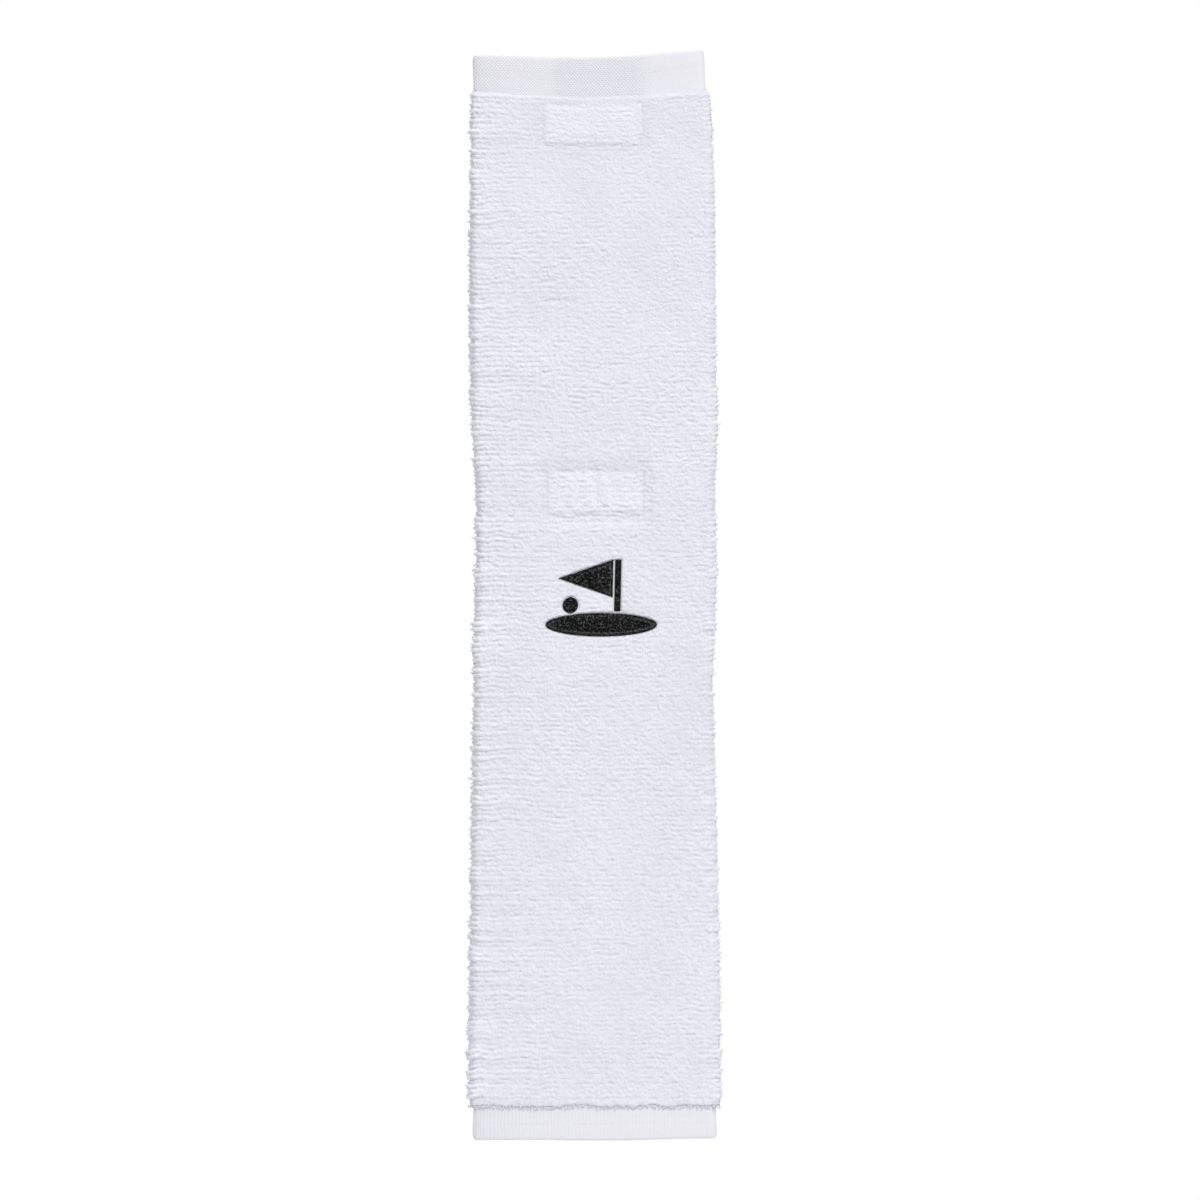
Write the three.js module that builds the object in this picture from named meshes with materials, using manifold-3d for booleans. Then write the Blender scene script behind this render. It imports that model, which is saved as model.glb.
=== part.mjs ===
// A golf towel: one sheet of cotton terry, folded in three along its length, with flat woven hems at
// both ends. A hook patch and a loop patch are sewn through the three layers near the top. The top of
// the towel folds back over a bag's towel ring, and the two patches hold it shut.
//
// Millimetres. X is across the towel, Y is from the front to the back, Z is up. The origin is the
// middle of the fold axis, where the ring sits.
import * as THREE from "three";
import { mergeVertices } from "three/addons/utils/BufferGeometryUtils.js";
import Module from "manifold-3d";

const wasm = await Module();
wasm.setup();

// ---------------------------------------------------------------- driving dimensions
const sheetWidth = 406; // 16 in, opened out flat
const sheetLength = 610; // 24 in
const foldDrop = 141; // from the top edge to the line where the top folds back
const clearance = 0.3; // between pieces that touch
const foldLineGap = 0.6; // between the two halves of the cloth at the fold line

const terryThickness = 3.4; // one layer, ground weave and both piles
const layerGap = 0.3;
const flapInset = 1.4; // from a flap's free edge to where the next side fold begins

const hemDepth = 20; // flat woven band at each end
const turnedDepth = 11; // the part of that band that is turned in and sewn
const bandThickness = 0.8;
const turnedThickness = 1.6;

const sideHemWidth = 8; // turned hem along each long edge of the sheet
const threadThickness = 0.5;
const threadInset = 1.6; // from a hem's edge to its row of stitches

const patchLength = 60; // hook and loop tape
const patchHeight = 30;
const tapeThickness = 0.9;
const pileRise = 1; // hooks or loops above the tape
const patchDrop = 37; // from the top edge to the middle of the hook patch
const stitchInset = 2; // from a tape's edge to its stitches
const fieldInset = 4; // from a tape's edge to its hooks or loops
const matingGap = 0.3; // between the two patches when the top is folded over
const grooveWidth = 1.6; // pile pulled in by the stitches, on the front
const grooveDepth = 1.2;

const emblemWidth = 64;
const emblemHeight = 43;
const emblemBelowPatch = 59; // from the middle of the loop patch down to the middle of the emblem
const emblemOffset = 4; // to the right of the middle
const emblemThickness = 0.7;
const emblemPocketDepth = 1.2;
const emblemMargin = 0.7; // flattened pile round the embroidery
const emblemGap = 1.1; // between neighbouring shapes
const greenHeight = 13;
const poleWidth = 3.6;
const polePlace = 9; // to the right of the emblem's middle
const flagHeight = 21;
const flagLength = 31;
const ballDiameter = 9;
const ballPlace = -18;

const backingThickness = 0.3; // stabiliser behind the embroidery
const backingMargin = 5;

const labelWidth = 32; // care label, along X
const labelHeight = 24;
const labelThickness = 0.5;
const labelRise = 80; // from the bottom edge to the middle of the label

// ---------------------------------------------------------------- places worked out from them
const layerPitch = terryThickness + layerGap;
const innerFoldRadius = layerPitch / 2; // left fold: front layer to inner flap
const outerFoldRadius = layerPitch; // right fold: front layer to outer flap, round the inner one
const backFace = -(pileRise + matingGap / 2); // only a patch's hooks or loops stand out of the pile
const outerLayer = backFace - terryThickness / 2;
const frontLayer = outerLayer - 2 * layerPitch;
const innerLayer = frontLayer + layerPitch;
const frontFace = frontLayer - terryThickness / 2;

const foldArcs = Math.PI * (innerFoldRadius + outerFoldRadius);
const flatSpan = (sheetWidth + 2 * flapInset - foldArcs) / 3; // the front panel between its two folds
const halfCentre = (flatSpan + innerFoldRadius + outerFoldRadius) / 2; // middle of the cloth, at a fold
const leftFoldX = -(halfCentre - innerFoldRadius);
const rightFoldX = halfCentre - outerFoldRadius;
const innerEdge = rightFoldX - flapInset; // free edge of the inner flap, hem included
const outerEdge = leftFoldX + flapInset; // free edge of the outer flap, hem included

const topEdge = foldDrop;
const bottomEdge = foldDrop - sheetLength;
const hookZ = topEdge - patchDrop;
const loopZ = -hookZ; // the patches meet when the top is folded over
const emblemZ = loopZ - emblemBelowPatch;

// ---------------------------------------------------------------- finishes
function finish(color, roughness) {
  return new THREE.MeshStandardMaterial({ color, roughness, metalness: 0, flatShading: true });
}

const terryCotton = finish(0xe9e9f0, 0.95);
const flatCotton = finish(0xe6e5ec, 0.85);
const tapeNylon = finish(0xeeeef2, 0.6);
const whiteThread = finish(0xf2f2f5, 0.6);
const blackThread = finish(0x17171a, 0.45);
const stabiliser = finish(0xdededc, 0.9);
const labelSatin = finish(0xf4f4f4, 0.4);

// ---------------------------------------------------------------- solids and meshes
const parts = new THREE.Group();

function solid(geometry) {
  const bare = geometry.clone();
  bare.deleteAttribute("normal");
  bare.deleteAttribute("uv");
  const merged = mergeVertices(bare, 1e-4);
  return new wasm.Manifold(
    new wasm.Mesh({
      numProp: 3,
      vertProperties: new Float32Array(merged.attributes.position.array),
      triVerts: new Uint32Array(merged.index.array),
    }),
  );
}

function geometryOf(made) {
  const { numProp, vertProperties, triVerts } = made.getMesh();
  const geometry = new THREE.BufferGeometry();
  const position = new Float32Array((vertProperties.length / numProp) * 3);
  for (let i = 0; i * numProp < vertProperties.length; i++) {
    position.set(vertProperties.subarray(i * numProp, i * numProp + 3), i * 3);
  }
  geometry.setAttribute("position", new THREE.BufferAttribute(position, 3));
  geometry.setIndex(new THREE.BufferAttribute(new Uint32Array(triVerts), 1));
  geometry.computeVertexNormals();
  return geometry;
}

function add(name, geometry, material) {
  const mesh = new THREE.Mesh(geometry, material);
  mesh.name = name;
  parts.add(mesh);
  return mesh;
}

// A shape drawn in X and Z, from y = back towards the front for the given depth.
function slab(shape, back, depth) {
  const geometry = new THREE.ExtrudeGeometry(shape, { depth, bevelEnabled: false, curveSegments: 20 });
  return geometry.rotateX(Math.PI / 2).translate(0, back, 0);
}

function box(x0, x1, y0, y1, z0, z1) {
  const geometry = new THREE.BoxGeometry(x1 - x0, y1 - y0, z1 - z0);
  return geometry.translate((x0 + x1) / 2, (y0 + y1) / 2, (z0 + z1) / 2);
}

function rectangle(x, z, width, height) {
  const shape = new THREE.Shape();
  shape.moveTo(x - width / 2, z - height / 2);
  shape.lineTo(x + width / 2, z - height / 2);
  shape.lineTo(x + width / 2, z + height / 2);
  shape.lineTo(x - width / 2, z + height / 2);
  shape.closePath();
  return shape;
}

function frame(x, z, width, height, band) {
  const shape = rectangle(x, z, width + band, height + band);
  shape.holes.push(rectangle(x, z, width - band, height - band));
  return shape;
}

// ---------------------------------------------------------------- the folded sheet
// The sheet's cross-section, from the free edge of the inner flap, round the left fold, across the
// front, round the right fold and back to the free edge of the outer flap. The two offsets are
// distances from the middle of the cloth, and grow towards its outer side.
function foldedSection(inside, outside, innerEnd, outerEnd) {
  const leftY = frontLayer + innerFoldRadius;
  const rightY = frontLayer + outerFoldRadius;
  const shape = new THREE.Shape();
  shape.moveTo(innerEnd, innerLayer + inside);
  shape.absarc(leftFoldX, leftY, innerFoldRadius + inside, Math.PI / 2, 1.5 * Math.PI, false);
  shape.absarc(rightFoldX, rightY, outerFoldRadius + inside, -Math.PI / 2, Math.PI / 2, false);
  shape.lineTo(outerEnd, outerLayer + inside);
  shape.lineTo(outerEnd, outerLayer + outside);
  shape.absarc(rightFoldX, rightY, outerFoldRadius + outside, Math.PI / 2, -Math.PI / 2, true);
  shape.absarc(leftFoldX, leftY, innerFoldRadius + outside, 1.5 * Math.PI, Math.PI / 2, true);
  shape.lineTo(innerEnd, innerLayer + outside);
  shape.closePath();
  return shape;
}

function foldedSheet(section, low, high) {
  const geometry = new THREE.ExtrudeGeometry(section, {
    depth: high - low,
    bevelEnabled: false,
    curveSegments: 14,
  });
  return geometry.translate(0, 0, low);
}

const hemGap = sideHemWidth + clearance;
const terrySection = foldedSection(
  -terryThickness / 2,
  terryThickness / 2,
  innerEdge - hemGap,
  outerEdge + hemGap,
);
const terryTop = topEdge - hemDepth - clearance;
const terryBottom = bottomEdge + hemDepth + clearance;

// A rectangle of stitches just inside a patch's edge.
function stitchRow(z, band) {
  return frame(0, z, patchLength - 2 * stitchInset, patchHeight - 2 * stitchInset, band);
}

// The pile is pressed down under a patch, and pulled in along its stitches on the front.
function patchCuts(z) {
  const recess = rectangle(0, z, patchLength + 2 * clearance, patchHeight + 2 * clearance);
  const depth = tapeThickness + clearance;
  const groove = stitchRow(z, grooveWidth);
  return [
    solid(slab(recess, backFace + 1, depth + 1)),
    solid(slab(groove, frontFace + grooveDepth, grooveDepth + 1)),
  ];
}

function cut(start, cutters) {
  return cutters.reduce((left, cutter) => left.subtract(cutter), start);
}

// ---------------------------------------------------------------- the emblem's shapes
const emblemBase = emblemZ - emblemHeight / 2;
const greenTop = emblemBase + greenHeight;
const poleTop = emblemZ + emblemHeight / 2;
const poleX = emblemOffset + polePlace;
const flagX = poleX - poleWidth / 2 - emblemGap;

// Each shape grows by margin all round, for the flattened pile in which it lies.
function greenShape(margin) {
  const shape = new THREE.Shape();
  const middle = emblemBase + greenHeight / 2;
  const halfLength = emblemWidth / 2 + margin;
  shape.absellipse(emblemOffset, middle, halfLength, greenHeight / 2 + margin, 0, 2 * Math.PI, false);
  return shape;
}

function poleShape(margin) {
  const foot = greenTop + emblemGap - margin;
  const head = poleTop + margin;
  return rectangle(poleX, (foot + head) / 2, poleWidth + 2 * margin, head - foot);
}

// A pennant that points left. Its margin is held square to its slanting sides.
function flagShape(margin) {
  const slope = flagHeight / 2 / flagLength;
  const lean = margin * Math.hypot(1, slope);
  const middle = poleTop - flagHeight / 2;
  const half = flagHeight / 2 + lean + margin * slope;
  const shape = new THREE.Shape();
  shape.moveTo(flagX + margin, middle - half);
  shape.lineTo(flagX + margin, middle + half);
  shape.lineTo(flagX - flagLength - lean / slope, middle);
  shape.closePath();
  return shape;
}

function ballShape(margin) {
  const shape = new THREE.Shape();
  const x = emblemOffset + ballPlace;
  const fall = 1 - Math.sqrt(1 - (ballPlace / (emblemWidth / 2)) ** 2); // the green curves down here
  const seat = greenTop - (fall * greenHeight) / 2;
  shape.absarc(x, seat + emblemGap + ballDiameter / 2, ballDiameter / 2 + margin, 0, 2 * Math.PI, false);
  return shape;
}

const emblemShapes = {
  emblem_green: greenShape,
  emblem_pole: poleShape,
  emblem_flag: flagShape,
  emblem_ball: ballShape,
};

function emblemCuts() {
  const back = frontFace + emblemPocketDepth;
  const depth = emblemPocketDepth + 1;
  return Object.values(emblemShapes).map((shape) => solid(slab(shape(emblemMargin), back, depth)));
}

// ---------------------------------------------------------------- cloth
const backingWidth = emblemWidth + 2 * backingMargin;
const backingHeight = emblemHeight + 2 * backingMargin;
const backingFace = frontLayer + terryThickness / 2; // inner side of the front layer
const backingPocket = rectangle(
  emblemOffset,
  emblemZ,
  backingWidth + 2 * clearance,
  backingHeight + 2 * clearance,
);
const backingDepth = backingThickness + clearance + layerGap / 2;
const backingCut = solid(slab(backingPocket, backingFace + layerGap / 2, backingDepth));

const upperSheet = solid(foldedSheet(terrySection, foldLineGap / 2, terryTop));
const mainSheet = solid(foldedSheet(terrySection, terryBottom, -foldLineGap / 2));
const mainCuts = [...patchCuts(loopZ), ...emblemCuts(), backingCut];
add("upper_terry_cloth", geometryOf(cut(upperSheet, patchCuts(hookZ))), terryCotton);
add("main_terry_cloth", geometryOf(cut(mainSheet, mainCuts)), terryCotton);

// ---------------------------------------------------------------- end hems
// The flat band is a single cloth next to the terry, and turned in and doubled at the towel's end.
function endHem(name, edge, towards) {
  const turn = edge + towards * turnedDepth;
  const weave = edge + towards * hemDepth;
  const band = foldedSection(-bandThickness / 2, bandThickness / 2, innerEdge, outerEdge);
  const turned = foldedSection(-turnedThickness / 2, turnedThickness / 2, innerEdge, outerEdge);
  const single = foldedSheet(band, Math.min(weave, edge), Math.max(weave, edge));
  const doubled = foldedSheet(turned, Math.min(turn, edge), Math.max(turn, edge));
  add(name, geometryOf(solid(single).add(solid(doubled))), flatCotton);

  const nearSide = turnedThickness / 2 + clearance;
  const row = foldedSection(
    nearSide,
    nearSide + threadThickness,
    innerEdge - threadInset,
    outerEdge + threadInset,
  );
  const middle = turn - towards * threadInset;
  const thread = foldedSheet(row, middle - threadThickness / 2, middle + threadThickness / 2);
  add(name + "_thread", thread, whiteThread);
}

endHem("top_hem", topEdge, -1);
endHem("bottom_hem", bottomEdge, 1);

// ---------------------------------------------------------------- side hems
// A turned strip along a flap's free edge, with its row of stitches on the flap's outer side.
function sideHem(name, edge, towards, layer, low, high) {
  const half = terryThickness / 2;
  const far = edge + towards * sideHemWidth;
  const strip = new THREE.Shape();
  strip.moveTo(far, layer - half);
  strip.lineTo(edge + towards * half, layer - half);
  strip.absarc(edge + towards * half, layer, half, -Math.PI / 2, Math.PI / 2, towards > 0);
  strip.lineTo(far, layer + half);
  strip.closePath();
  add(name, foldedSheet(strip, low, high), terryCotton);
}

// The outer flap's row lies on the back. The inner flap's row is sunk by the flap pressed on it.
function sideThread(name, edge, towards, y, low, high) {
  const x = edge + towards * (sideHemWidth - threadInset);
  const half = threadThickness / 2;
  add(name, box(x - half, x + half, y, y + threadThickness, low, high), whiteThread);
}

const spans = {
  upper: [foldLineGap / 2, terryTop],
  main: [terryBottom, -foldLineGap / 2],
};
for (const [body, [low, high]] of Object.entries(spans)) {
  sideHem(body + "_outer_side_hem", outerEdge, 1, outerLayer, low, high);
  sideThread(body + "_outer_side_thread", outerEdge, 1, backFace + clearance, low, high);
  sideHem(body + "_inner_side_hem", innerEdge, -1, innerLayer, low, high);
}

// ---------------------------------------------------------------- hook and loop patches
function patch(name, z) {
  const tapeBack = backFace; // the tape's own back is flush with the pile
  const tape = box(
    -patchLength / 2,
    patchLength / 2,
    tapeBack - tapeThickness,
    tapeBack,
    z - patchHeight / 2,
    z + patchHeight / 2,
  );
  const fieldLength = patchLength - 2 * fieldInset;
  const fieldHeight = patchHeight - 2 * fieldInset;
  const field = box(
    -fieldLength / 2,
    fieldLength / 2,
    tapeBack - tapeThickness / 2,
    tapeBack + pileRise,
    z - fieldHeight / 2,
    z + fieldHeight / 2,
  );
  add(name + "_patch", geometryOf(solid(tape).add(solid(field))), tapeNylon);

  const row = stitchRow(z, threadThickness);
  const needleBack = tapeBack + clearance + threadThickness;
  const bobbinBack = frontFace + grooveDepth - clearance;
  add(name + "_needle_thread", slab(row, needleBack, threadThickness), whiteThread);
  add(name + "_bobbin_thread", slab(row, bobbinBack, threadThickness), whiteThread);
}

patch("hook", hookZ);
patch("loop", loopZ);

// ---------------------------------------------------------------- embroidery and its backing
const emblemBack = frontFace + emblemPocketDepth - clearance;
for (const [name, shape] of Object.entries(emblemShapes)) {
  add(name, slab(shape(0), emblemBack, emblemThickness), blackThread);
}
const backingShape = rectangle(emblemOffset, emblemZ, backingWidth, backingHeight);
add("embroidery_backing", slab(backingShape, backingFace, backingThickness), stabiliser);

// ---------------------------------------------------------------- care label
// A blank ribbon, caught at one end by the outer side hem's stitches and lying on the back.
const labelStart = outerEdge + sideHemWidth;
const labelMiddle = labelStart + labelWidth / 2;
const labelBack = backFace + clearance + labelThickness;
const labelShape = rectangle(labelMiddle, bottomEdge + labelRise, labelWidth, labelHeight);
add("care_label", slab(labelShape, labelBack, labelThickness), labelSatin);

export default parts;
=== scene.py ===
"""A folded terry golf towel: looped pile over a ground weave, flat woven hems, hook and loop patches
and an embroidered flag, on a plain near-white floor. Lengths are worked out in millimetres and set in
metres."""

import math

import bmesh
import bpy
import numpy as np
from mathutils import Matrix, Vector


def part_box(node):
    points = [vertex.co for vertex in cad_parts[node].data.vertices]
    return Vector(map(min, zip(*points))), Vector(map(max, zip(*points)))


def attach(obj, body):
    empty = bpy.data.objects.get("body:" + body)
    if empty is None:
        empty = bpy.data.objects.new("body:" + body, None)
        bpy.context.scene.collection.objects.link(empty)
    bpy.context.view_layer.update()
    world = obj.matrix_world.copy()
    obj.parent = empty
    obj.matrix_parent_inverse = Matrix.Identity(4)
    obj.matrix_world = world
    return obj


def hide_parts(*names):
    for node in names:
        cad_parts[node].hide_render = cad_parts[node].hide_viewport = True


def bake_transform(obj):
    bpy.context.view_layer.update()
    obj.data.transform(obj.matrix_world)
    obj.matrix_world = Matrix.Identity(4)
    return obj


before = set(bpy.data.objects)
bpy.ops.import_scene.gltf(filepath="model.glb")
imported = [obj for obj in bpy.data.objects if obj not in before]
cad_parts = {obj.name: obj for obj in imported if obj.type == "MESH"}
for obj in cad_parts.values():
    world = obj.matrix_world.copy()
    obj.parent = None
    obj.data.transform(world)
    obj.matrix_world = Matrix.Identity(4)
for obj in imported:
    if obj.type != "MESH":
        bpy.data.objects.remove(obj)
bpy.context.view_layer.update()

MM = 0.001
UPPER, MAIN = "upper_section", "main_section"

# Sewing, in millimetres.
STITCH = 3.0  # from one stitch to the next in the hems
BOX_STITCH = 2.6  # the same round a patch
STITCH_INSET = 2.0  # from a patch's edge
SIDE_STITCH_INSET = 1.6  # from a side hem's inner edge
TURNED = 11.0  # how much of an end band is turned in
SEAM_INSET = 1.9  # from the turned part's raw edge to its stitches
CORNER = 2.2  # how round an end band's corners are
FOLD_ZONE = 36.4  # the cloth bends over this far each side of the fold axis

# Looped pile, in millimetres.
LOOP_ROW = 2.8  # from one row of loops to the next
LOOP_WIDTH = 1.25
LUMPS = 0.38  # how much the loops' heights differ
FURROWS = 0.37  # how deep the furrows between rows are
FURROW_WIDTH = 0.6
GROOVE_WIDTH = 0.8  # where stitches pull the pile in
PILE_BASE = 0.95  # from the sheet's middle to the roots of the loops
ROW_STEP, FRONT_STEP, BACK_STEP = 0.57, 0.56, 0.95  # of the pile's mesh: up, across the front, the back

# Embroidery, in millimetres.
FILL_PITCH = 0.46
FILL_STITCH = 3.4
SATIN_PITCH = 0.42
SATIN_WIDTH = 1.7
THREAD = 0.5


def node_box(name):
    """Lowest and highest corner of a node, in millimetres."""
    low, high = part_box(name)
    return np.array(low) / MM, np.array(high) / MM


# ---------- measures taken from the solids
outer_low, outer_high = node_box("main_outer_side_hem")
inner_high = node_box("main_inner_side_hem")[1]
top_low, top_high = node_box("top_hem")
bottom_low, bottom_high = node_box("bottom_hem")

THICK = outer_high[1] - outer_low[1]
PITCH = outer_high[1] - inner_high[1]
HALF = THICK / 2
OUTER_Y = (outer_low[1] + outer_high[1]) / 2
INNER_Y = OUTER_Y - PITCH
FRONT_Y = INNER_Y - PITCH
FRONT_FACE = FRONT_Y - HALF
BACK_FACE = OUTER_Y + HALF
LEFT_RADIUS = PITCH / 2
RIGHT_RADIUS = PITCH
HALF_WIDTH = node_box("main_terry_cloth")[1][0]
LEFT_X = -(HALF_WIDTH - HALF - LEFT_RADIUS)
RIGHT_X = HALF_WIDTH - HALF - RIGHT_RADIUS
OUTER_EDGE = outer_low[0]
INNER_EDGE = inner_high[0]
SIDE_HEM = outer_high[0] - outer_low[0]

TOP = top_high[2]
BOTTOM = bottom_low[2]
TERRY_TOP = top_low[2]
TERRY_BOTTOM = bottom_high[2]

HOOK = node_box("hook_patch")
LOOP = node_box("loop_patch")


# ---------- camera, light, floor
def aim(thing, target):
    thing.rotation_euler = (Vector(target) - thing.location).to_track_quat("-Z", "Y").to_euler()


def studio():
    scene = bpy.context.scene
    scene.view_settings.view_transform = "Standard"
    scene.view_settings.look = "None"

    camera = bpy.data.objects.new("camera", bpy.data.cameras.new("camera"))
    scene.collection.objects.link(camera)
    distance, view_width, sensor = 3.2, 0.6744, 36
    camera.location = (0.0039, -distance, -0.1641)
    camera.rotation_euler = (math.radians(90), 0, 0)
    camera.data.sensor_width = sensor
    camera.data.lens = sensor * (distance + FRONT_FACE * MM) / view_width
    camera.data.clip_end = 50
    scene.camera = camera

    world = bpy.data.worlds.new("studio")
    scene.world = world
    world.use_nodes = True
    tree = world.node_tree
    tree.nodes.clear()
    out = tree.nodes.new("ShaderNodeOutputWorld")
    mix = tree.nodes.new("ShaderNodeMixShader")
    path = tree.nodes.new("ShaderNodeLightPath")
    tree.links.new(path.outputs["Is Camera Ray"], mix.inputs[0])
    tree.links.new(mix.outputs[0], out.inputs[0])
    light_on_towel, light_seen = 0.55, 1.0
    for socket, strength in ((1, light_on_towel), (2, light_seen)):
        white = tree.nodes.new("ShaderNodeBackground")
        white.inputs["Strength"].default_value = strength
        white.inputs["Color"].default_value = (1, 1, 1, 1)
        tree.links.new(white.outputs[0], mix.inputs[socket])

    for name, place, size, power in (
        ("key", (1.2, -2.4, 3.2), 1.2, 111),
        ("fill", (-2.2, -1.6, 0.6), 1.2, 6),
        ("back", (1.0, 2.6, 2.2), 1.6, 45),
    ):
        light = bpy.data.lights.new(name, "AREA")
        light.shape = "DISK"
        light.size = size
        light.energy = power
        lamp = bpy.data.objects.new(name, light)
        lamp.location = place
        scene.collection.objects.link(lamp)
        aim(lamp, (0, 0, -0.16))

    form = bmesh.new()
    bmesh.ops.create_circle(form, cap_ends=True, segments=96, radius=1.0)
    floor = new_piece("floor", form)
    floor.data.transform(Matrix.Translation((0, 0, -0.85)))
    floor.data.materials.append(FLOOR)


# ---------- meshes
def mesh_of(form, name):
    mesh = bpy.data.meshes.new(name)
    form.to_mesh(mesh)
    form.free()
    return mesh


def new_piece(name, form, smooth=True):
    mesh = mesh_of(form, name)
    piece = bpy.data.objects.new(name, mesh)
    bpy.context.scene.collection.objects.link(piece)
    if smooth:
        mesh.shade_smooth()
    return piece


def corner_key(part, count):
    """A number of its own for each edge or face, from its lowest and highest of count points."""
    corners = [v.index for v in part.verts]
    return min(corners) * count + max(corners)


def grid(columns, rows):
    form = bmesh.new()
    bmesh.ops.create_grid(form, x_segments=columns, y_segments=rows, size=0.5)
    return form


def points_of(form):
    return np.array([v.co for v in form.verts], float).reshape(-1, 3)


def shares_of(form):
    """How far across and how far up each point of a grid is, from 0 to 1."""
    return (points_of(form)[:, :2] + 0.5).T


def block(low, high):
    """A box between two corners."""
    low, high = np.array(low), np.array(high)
    form = bmesh.new()
    place = Matrix.Translation((low + high) / 2) @ Matrix.Diagonal((*(high - low), 1))
    bmesh.ops.create_cube(form, size=1, matrix=place)
    return form


def stamp(form, template, matrix):
    """Adds a small mesh to a form, placed by a matrix."""
    template.transform(matrix)
    form.from_mesh(template)
    template.transform(matrix.inverted())


def mark(piece, name, values):
    """Writes a number on each point of a piece, for its material."""
    piece.data.attributes.new(name, "FLOAT", "POINT").data.foreach_set("value", values)


def set_points(form, points):
    for vertex, point in zip(form.verts, points):
        vertex.co = point


# ---------- the folded cross-section
def section_marks(measured_at):
    """Where along t the left fold, the front, the right fold, the outer flap and its edge begin.

    t runs from the inner flap's free edge, on the line that lies measured_at outside the sheet's middle."""
    a = INNER_EDGE - LEFT_X
    b = a + math.pi * (LEFT_RADIUS + measured_at)
    c = b + RIGHT_X - LEFT_X
    d = c + math.pi * (RIGHT_RADIUS + measured_at)
    return a, b, c, d, d + RIGHT_X - OUTER_EDGE


MARKS = section_marks(HALF)
SHEET_WIDTH = section_marks(0)[4]
LEFT_MIDDLE = (MARKS[0] + MARKS[1]) / 2
RIGHT_MIDDLE = (MARKS[2] + MARKS[3]) / 2


def section(t, offset, measured_at):
    """x and y of the folded sheet at the distance t along it, offset outside its middle."""
    a, b, c, d, _ = section_marks(measured_at)
    t = np.asarray(t, float)
    offset = np.broadcast_to(offset, t.shape)
    on_left, on_front, on_right = (t >= a) & (t < b), (t >= b) & (t < c), (t >= c) & (t < d)
    turn_left = np.pi / 2 + np.pi * np.clip((t - a) / (b - a), 0, 1)
    turn_right = -np.pi / 2 + np.pi * np.clip((t - c) / (d - c), 0, 1)
    straight = np.where(on_front, -np.pi / 2, np.pi / 2)
    angle = np.where(on_left, turn_left, np.where(on_right, turn_right, straight))
    radius = np.where(on_left, LEFT_RADIUS, np.where(on_right, RIGHT_RADIUS, 0.0))
    straight_x = np.where(t < a, INNER_EDGE - t, np.where(t < c, LEFT_X + (t - b), RIGHT_X - (t - d)))
    centre_x = np.where(on_left, LEFT_X, np.where(on_right, RIGHT_X, straight_x))
    layer = np.where(t < a, INNER_Y, np.where(t < c, FRONT_Y, OUTER_Y))
    centre_y = np.where(on_left | on_right, FRONT_Y + radius, layer)
    return centre_x + np.cos(angle) * (radius + offset), centre_y + np.sin(angle) * (radius + offset)


# ---------- even, repeatable irregularity
def chance(*numbers):
    """A fixed value from 0 to 1 for each set of whole numbers."""
    total = 0.0
    for number, step in zip(numbers, (127.1, 311.7, 74.7, 419.2)):
        total = total + np.asarray(number, float) * step
    value = np.sin(total) * 43758.5453
    return value - np.floor(value)


def eased(share):
    return share * share * (3 - 2 * share)


def smooth_step(low, high, value):
    return eased(np.clip((value - low) / (high - low), 0, 1))


def bell(distance, width):
    """1 at no distance, falling away over the width."""
    return np.exp(-((distance / width) ** 2))


def drift(x, z, size, seed):
    """Smooth unevenness from -1 to 1 with lumps of the given size."""
    u, v = x / size, z / size
    i, j = np.floor(u), np.floor(v)
    fu, fv = eased(u - i), eased(v - j)
    low = chance(i, j, seed) * (1 - fu) + chance(i + 1, j, seed) * fu
    high = chance(i, j + 1, seed) * (1 - fu) + chance(i + 1, j + 1, seed) * fu
    return 2 * (low * (1 - fv) + high * fv) - 1


# ---------- the pile's relief
def along_rows(t, row, length, seed):
    """Smooth unevenness from 0 to 1 along t, with a pattern of its own in every row."""
    u = t / length + 17 * chance(row, 0, seed)
    i = np.floor(u)
    f = eased(u - i)
    return chance(i, row, seed + 0.5) * (1 - f) + chance(i + 1, row, seed + 0.5) * f


def loop_relief(t, z, open_rows=0.0):
    """Height of the loops, 0 to about 1: lumps a loop across, in uneven rows parted by furrows."""
    level = z + 0.9 * drift(t, z, 31, 3) + 0.8 * drift(t, 0.4 * z, 6.5, 4) + 0.35 * drift(t, z, 4.2, 5)
    level = level / LOOP_ROW
    furrow = np.rint(level)
    away = np.abs(level - furrow) * LOOP_ROW
    deep = smooth_step(0.3, 1.0, along_rows(t, furrow, 3.2, 11) + 0.45 * open_rows)
    parted = (0.3 + 0.7 * deep) * (1 + 0.25 * open_rows) * bell(away, FURROW_WIDTH)
    turned_t, turned_z = 0.8 * t + 0.6 * z, 0.8 * z - 0.6 * t
    lumps = 0.5 * drift(t, z, LOOP_WIDTH, 13) + 0.5 * drift(turned_t, turned_z, LOOP_WIDTH, 15)
    standing = 0.12 * smooth_step(0.75, 1.0, along_rows(t, np.floor(level), 1.3, 19))
    standing = standing + 0.72 * open_rows * (chance(np.floor(level), 2, 19) - 0.5)
    return np.clip(0.62 + LUMPS * lumps + standing - FURROWS * parted, 0, 1.3)


def middle_and_half(box, inset=0.0):
    """Middle and half size in x and z of a node's box, drawn in by inset."""
    low, high = box
    middle_x, middle_z = (low[0] + high[0]) / 2, (low[2] + high[2]) / 2
    return middle_x, middle_z, (high[0] - low[0]) / 2 - inset, (high[2] - low[2]) / 2 - inset


def within(x, z, box, margin):
    """Whether a point is inside a node's box widened by a margin."""
    low, high = box
    across = (x > low[0] - margin) & (x < high[0] + margin)
    return across & (z > low[2] - margin) & (z < high[2] + margin)


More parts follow.
